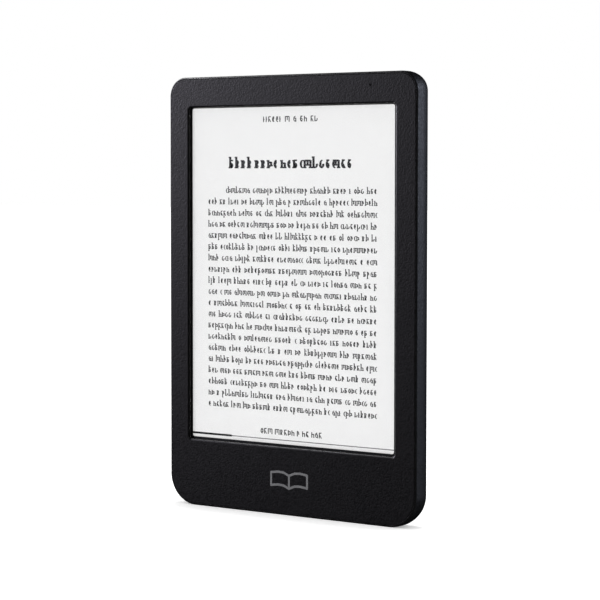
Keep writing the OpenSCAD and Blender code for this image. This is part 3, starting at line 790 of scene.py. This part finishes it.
def build_button(material):
    """Cap of the power button, with a rounded edge, a shallow dish, a flange and its post."""
    face_y = button_high.y / MM
    post_y = button_low.y / MM
    flange_front = back_y - WALL - FLANGE_GAP
    flange_back = flange_front - FLANGE_T
    cap = [button_level(inset, face_y - depth) for inset, depth in DISH_LEVELS]
    for i in range(CAP_EDGE_STEPS + 1):
        angle = radians(90 * i / CAP_EDGE_STEPS)
        inset = CAP_EDGE_R * (1 - sin(angle))
        cap.append(button_level(inset, face_y - CAP_EDGE_R * (1 - cos(angle))))
    cap.append(button_level(0.0, flange_front))
    cap.append(button_level(-FLANGE_REACH, flange_front))
    cap.append(button_level(-FLANGE_REACH, flange_back))
    count = len(cap[0])
    turn = [2 * pi * (i + 0.5) / count - pi / 2 for i in range(count)]
    for y in (flange_back, post_y):
        cap.append([(button_x + POST_R * cos(a), y, button_z + POST_R * sin(a)) for a in turn])
    button = stack("button_cap", cap)
    button.data.materials.append(material)
    smooth(button)
    attach(button, "button", "button_plastic", "power_button")


# ---------------------------------------------------------------- page

class Pen:
    """Strokes of one invented mark, in units of the height of a short mark."""

    def __init__(self, thick, thin, serif):
        self.thick = thick
        self.thin = thin
        self.serif = serif
        self.shapes = []

    def box(self, x0, z0, x1, z1):
        """Upright rectangle."""
        self.shapes.append([(x0, z0), (x1, z0), (x1, z1), (x0, z1)])

    def stem(self, x, z0, z1):
        """Upright stroke, with serifs if the pen has them."""
        half = self.thick / 2
        self.box(x - half, z0, x + half, z1)
        if self.serif:
            foot = half + self.serif
            self.box(x - foot, z0, x + foot, z0 + self.thin)
            self.box(x - foot, z1 - self.thin, x + half, z1)

    def beam(self, x0, x1, z):
        """Thin level stroke."""
        self.box(x0, z - self.thin / 2, x1, z + self.thin / 2)

    def band(self, cx, cz, rx, rz, start, end):
        """Part of an ellipse, thick where it runs upright and thin where it lies flat."""
        steps = 8
        outside, inside = [], []
        for i in range(steps + 1):
            angle = radians(start + (end - start) * i / steps)
            outside.append((cx + rx * cos(angle), cz + rz * sin(angle)))
            inside.append((cx + (rx - self.thick) * cos(angle), cz + (rz - self.thin) * sin(angle)))
        self.shapes.append(outside + inside[::-1])

    def slant(self, x0, z0, x1, z1):
        """Thick sloping stroke."""
        half = self.thick / 2
        self.shapes.append([(x0 - half, z0), (x0 + half, z0), (x1 + half, z1), (x1 - half, z1)])


# Left part of a mark: the foot and the head of its stem, or a bow where there's no stem
LEFT_STEMS = {"short": (0.0, 1.0), "tall": (0.0, 1.42), "deep": (-0.42, 1.0), "round": None}


# Right parts of a mark, each drawn with a pen to a width

def shelf(pen, w):
    pen.beam(0.0, w, 0.62)
    pen.stem(w, 0.0, 0.66)


def hook(pen, w):
    pen.band(0.0, 0.48, w, 0.52, 90, -20)


def cup(pen, w):
    pen.band(w / 2, 0.42, w / 2 + pen.thick / 2, 0.42, 180, 380)


def ladder(pen, w):
    pen.beam(0.0, w, 0.28)
    pen.beam(0.0, w, 0.74)
    pen.stem(w, 0.24, 0.78)


def ramp(pen, w):
    pen.slant(w, 0.0, 0.12, 0.56)
    pen.beam(0.0, w, 0.96)


def loop(pen, w):
    pen.band(w * 0.42, 0.34, w * 0.58, 0.34, -180, 180)
    pen.beam(0.0, w * 0.9, 0.96)


def wave(pen, w):
    pen.band(w * 0.3, 0.72, w * 0.55, 0.28, 100, -90)
    pen.band(w * 0.62, 0.26, w * 0.42, 0.26, 100, 300)


def tick(pen, w):
    pen.beam(0.0, w, 0.50)


def double(pen, w):
    pen.beam(0.0, w, 0.94)
    pen.stem(w / 2, 0.30, 0.98)
    pen.stem(w, 0.0, 0.98)


RIGHT_PARTS = (shelf, hook, cup, ladder, ramp, loop, wave, tick, double)
PART_WIDTHS = (0.46, 0.42, 0.50, 0.44, 0.46, 0.50, 0.50, 0.20, 0.86)


# Place and size of a speck far from everything
SPECK_X = 9e5
SPECK_SIZE = 10


def union_mesh(shapes):
    """Prisms of flat shapes, one unit deep, as one closed mesh: (points, faces).

    The shapes are joined by the cut itself, which needs something to cut: a speck far away.
    """
    bm = bmesh.new()
    for shape in shapes:
        front = [bm.verts.new((x, 0.0, z)) for x, z in shape]
        back = [bm.verts.new((x, 1.0, z)) for x, z in shape]
        bridge(bm, front, back)
        bm.faces.new(front)
        bm.faces.new(back)
    mark = to_object(bm, "mark_draft")
    speck = stack("speck", [
        [(SPECK_X, y, 0.0), (SPECK_X + SPECK_SIZE, y, 0.0), (SPECK_X, y, SPECK_SIZE)]
        for y in (0.0, SPECK_SIZE)
    ])
    modifier = mark.modifiers.new("union", "BOOLEAN")
    modifier.operation = "DIFFERENCE"
    modifier.solver = "EXACT"
    modifier.use_self = True
    modifier.object = speck
    bake_modifiers(mark)
    points = [v.co.copy() for v in mark.data.vertices]
    faces = [tuple(p.vertices) for p in mark.data.polygons]
    bpy.data.meshes.remove(mark.data)
    bpy.data.meshes.remove(speck.data)
    return points, faces


def mark_set(thick, thin, serif, lefts):
    """Every left stem with every right part: a list of (points, faces, width) for each left stem."""
    marks = {}
    for left in lefts:
        marks[left] = []
        for part, width in zip(RIGHT_PARTS, PART_WIDTHS):
            pen = Pen(thick, thin, serif)
            if LEFT_STEMS[left]:
                pen.stem(0.0, *LEFT_STEMS[left])
            else:
                pen.band(cx=0.30, cz=0.50, rx=0.40, rz=0.51, start=70, end=290)
            part(pen, width)
            points, faces = union_mesh(pen.shapes)
            marks[left].append((points, faces, width + thick))
    return marks


# A word space in units of the mark's height, and the misses after which a row is full
WORD_SPACE = 0.62
MAX_MISSES = 4


class Writer:
    """Sets rows of invented marks on the page and gathers them in one mesh.

    height is in millimetres, gap in units of it, and chance gives each kind's weight.
    """

    def __init__(self, marks, height, gap, chance):
        self.marks = marks
        self.height = height
        self.gap = gap
        self.names = list(chance)
        self.weights = list(chance.values())
        self.verts = []
        self.faces = []

    def word(self, length):
        """Marks of one word with their places, and the word's width in units."""
        x = 0.0
        out = []
        for _ in range(length):
            kind = random.choices(self.names, self.weights)[0]
            mark = random.choice(self.marks[kind])
            out.append((x, mark))
            x += mark[2] + self.gap
        return out, x - self.gap

    def put(self, x, z, mark):
        """Adds one mark, standing a little proud of the page and a little sunk into it."""
        first = len(self.verts)
        for p in mark[0]:
            depth = INK_T if p.y < 0.5 else -INK_SINK
            self.verts.append((x + p.x * self.height, page_y - depth, z + p.z * self.height))
        self.faces += [tuple(first + i for i in face) for face in mark[1]]

    def line(self, words, left, right, z):
        """One row from left to right, with its words spread to fill it, or squeezed to fit it."""
        total = sum(width for _, width in words) * self.height
        room = right - left - total
        space = room / max(1, len(words) - 1)
        x = left
        for marks, width in words:
            for place, mark in marks:
                self.put(x + place * self.height, z, mark)
            x += width * self.height + space

    def fill(self, width, lengths):
        """Words of random lengths for a row of that width, which is full when no short word fits."""
        words = []
        used = 0.0
        space = WORD_SPACE * self.height
        misses = 0
        while misses < MAX_MISSES:
            marks, size = self.word(random.choice(lengths))
            grown = used + size * self.height + (space if words else 0.0)
            if grown > width:
                misses += 1
                continue
            words.append((marks, size))
            used = grown
        return words

    def piece(self, name, material):
        """Turns everything set so far into one object on the housing."""
        mesh = bpy.data.meshes.new(name)
        mesh.from_pydata([Vector(v) * MM for v in self.verts], [], self.faces)
        mesh.materials.append(material)
        marks = bpy.data.objects.new(name, mesh)
        bpy.context.scene.collection.objects.link(marks)
        attach(marks, "housing", "mask_film")


# Lengths of words in the body text, to draw from
BODY_WORDS = (1, 2, 2, 2, 3, 3, 3, 4, 4, 4, 5, 5, 6, 7, 7, 8, 9)
# How often each left part comes up
BODY_CHANCE = {"short": 4, "tall": 2.4, "deep": 0.9, "round": 4.5}
TITLE_CHANCE = {"short": 3, "tall": 3, "round": 3}
CAPS_CHANCE = {"short": 2, "round": 1}
TEXT_HEIGHT = 1.75
TITLE_HEIGHT = 3.0
CAPS_HEIGHT = 2.0


def write_row(name, writer, lengths, left, right, z, ink):
    """One row of words with the given lengths, as a piece of its own."""
    words = [writer.word(length) for length in lengths]
    writer.line(words, left, right, z)
    writer.piece(name, ink)


def write_page(ink):
    """Rows of marks that stand in for a page of text: body, title, running head and foot."""
    random.seed(11)
    text = mark_set(0.24, 0.145, 0.08, LEFT_STEMS)
    writer = Writer(text, TEXT_HEIGHT, 0.17, BODY_CHANCE)
    for row in range(LINE_COUNT):
        left = TEXT_LEFT + (INDENT if row == 0 else 0.0)
        words = writer.fill(TEXT_RIGHT - left, BODY_WORDS)
        writer.line(words, left, TEXT_RIGHT, FIRST_BASELINE - row * LINE_PITCH)
    writer.piece("page_text_marks", ink)

    bold = mark_set(0.34, 0.18, 0.09, LEFT_STEMS)
    writer = Writer(bold, TITLE_HEIGHT, 0.11, TITLE_CHANCE)
    write_row("page_title_marks", writer, (4, 4, 11), -28.5, 27.5, 126.2, ink)

    caps = mark_set(0.21, 0.17, 0.0, ("short", "round"))
    writer = Writer(caps, CAPS_HEIGHT, 0.18, CAPS_CHANCE)
    write_row("page_head_marks", writer, (6, 1, 1, 2, 2), -12.9, 11.8, 143.0, ink)
    writer = Writer(caps, CAPS_HEIGHT, 0.18, CAPS_CHANCE)
    write_row("page_foot_marks", writer, (3, 5, 1, 2, 3), -14.1, 13.9, 29.0, ink)


# Progress line: its height on the page, where the read part ends, its half-heights
PROGRESS_Z = 27.15
READ_END = -27.7
OVERLAP = 0.3
READ_HALF = 0.38
LEFT_HALF = 0.16
REACH = 1.6
SINK = 0.005


def slab(name, x0, x1, half, y_front, material):
    """Thin flat bar at the height of the progress line, with rounded ends."""
    outlines = []
    for y in (y_front, page_y + SINK):
        outlines.append(pill_outline(
            x1 - x0, 2 * half, ((x0 + x1) / 2, PROGRESS_Z), lambda u, v: (u, y, v), steps=6
        ))
    piece = stack(name, outlines)
    piece.data.materials.append(material)
    attach(piece, "housing", "mask_film")


def draw_progress(ink, grey):
    """Progress line across the foot of the page: heavy as far as it's read, thin after."""
    reach = PAGE_HALF + REACH
    slab("progress_done", -reach, READ_END, READ_HALF, page_y - INK_T, ink)
    slab("progress_left", READ_END - OVERLAP, reach, LEFT_HALF, page_y - 0.7 * INK_T, grey)


# ---------------------------------------------------------------- mark on the bezel

def stroke_path(points, width):
    """Flat shapes along a path: one box for each stretch and a disc at each point."""
    shapes = []
    r = width / 2
    for (ax, az), (bx, bz) in zip(points, points[1:]):
        length = sqrt((bx - ax) ** 2 + (bz - az) ** 2)
        nx, nz = -(bz - az) / length * r, (bx - ax) / length * r
        shapes.append([(ax + nx, az + nz), (ax - nx, az - nz), (bx - nx, bz - nz), (bx + nx, bz + nz)])
    for x, z in points:
        shapes.append([(x + r * cos(pi * k / 8), z + r * sin(pi * k / 8)) for k in range(16)])
    return shapes


# Open book: its middle and foot on the bezel, its size, the width of its line
MARK_X = 0.35
MARK_LOW = 9.9
MARK_W = 16.4
MARK_H = 5.9
MARK_LINE = 0.85
MARK_RISE = 0.015
MARK_SINK = 0.02
# Edges of a page, as shares of half the book's width and of its height
PAGE_TOP = ((0.0, 0.80), (0.30, 0.97), (0.62, 1.0), (1.0, 0.93))
PAGE_FOOT = ((1.0, 0.13), (0.62, 0.20), (0.30, 0.17), (0.0, 0.0))


def build_mark(material):
    """Plain open book, printed on the bezel under the window."""
    half = MARK_W / 2
    shapes = stroke_path([(0.0, 0.0), (0.0, MARK_H * 0.80)], MARK_LINE)
    for side in (-1, 1):
        page = [(side * half * x, MARK_H * z) for x, z in PAGE_TOP + PAGE_FOOT]
        shapes += stroke_path(page, MARK_LINE)
    points, faces = union_mesh(shapes)
    verts = []
    for p in points:
        y = front_y - MARK_RISE if p.y < 0.5 else front_y + MARK_SINK
        verts.append(Vector((MARK_X + p.x, y, MARK_LOW + p.z)) * MM)
    mesh = bpy.data.meshes.new("open_book_mark")
    mesh.from_pydata(verts, [], faces)
    mesh.materials.append(material)
    mark = bpy.data.objects.new("open_book_mark", mesh)
    bpy.context.scene.collection.objects.link(mark)
    attach(mark, "housing", "bezel_plastic")


# ---------------------------------------------------------------- scene

def lay_floor():
    """Wide white floor at the bottom edge of the reader."""
    bm = bmesh.new()
    bmesh.ops.create_grid(bm, x_segments=8, y_segments=8, size=6.0)
    floor = to_object(bm, "studio_floor", floor_material())
    floor.location.z = cad_box[0].z
    floor.visible_glossy = False


def dress_nodes(materials):
    """Gives every CAD node the material of its slot in the record."""
    for part in frame["record"]["subparts"]:
        node = frame["nodes"][part["node"]]
        for slot in node.material_slots:
            slot.material = materials[part["material_slot"]]


place_camera()
light_scene()
materials = make_materials()
dress_nodes(materials)
build_bezel(materials["bezel_plastic"], edge_material())
build_cover(materials["cover_plastic"])
build_button(materials["button_plastic"])
write_page(materials["mask_film"])
draw_progress(materials["mask_film"], mark_material())
build_mark(mark_material())
lay_floor()
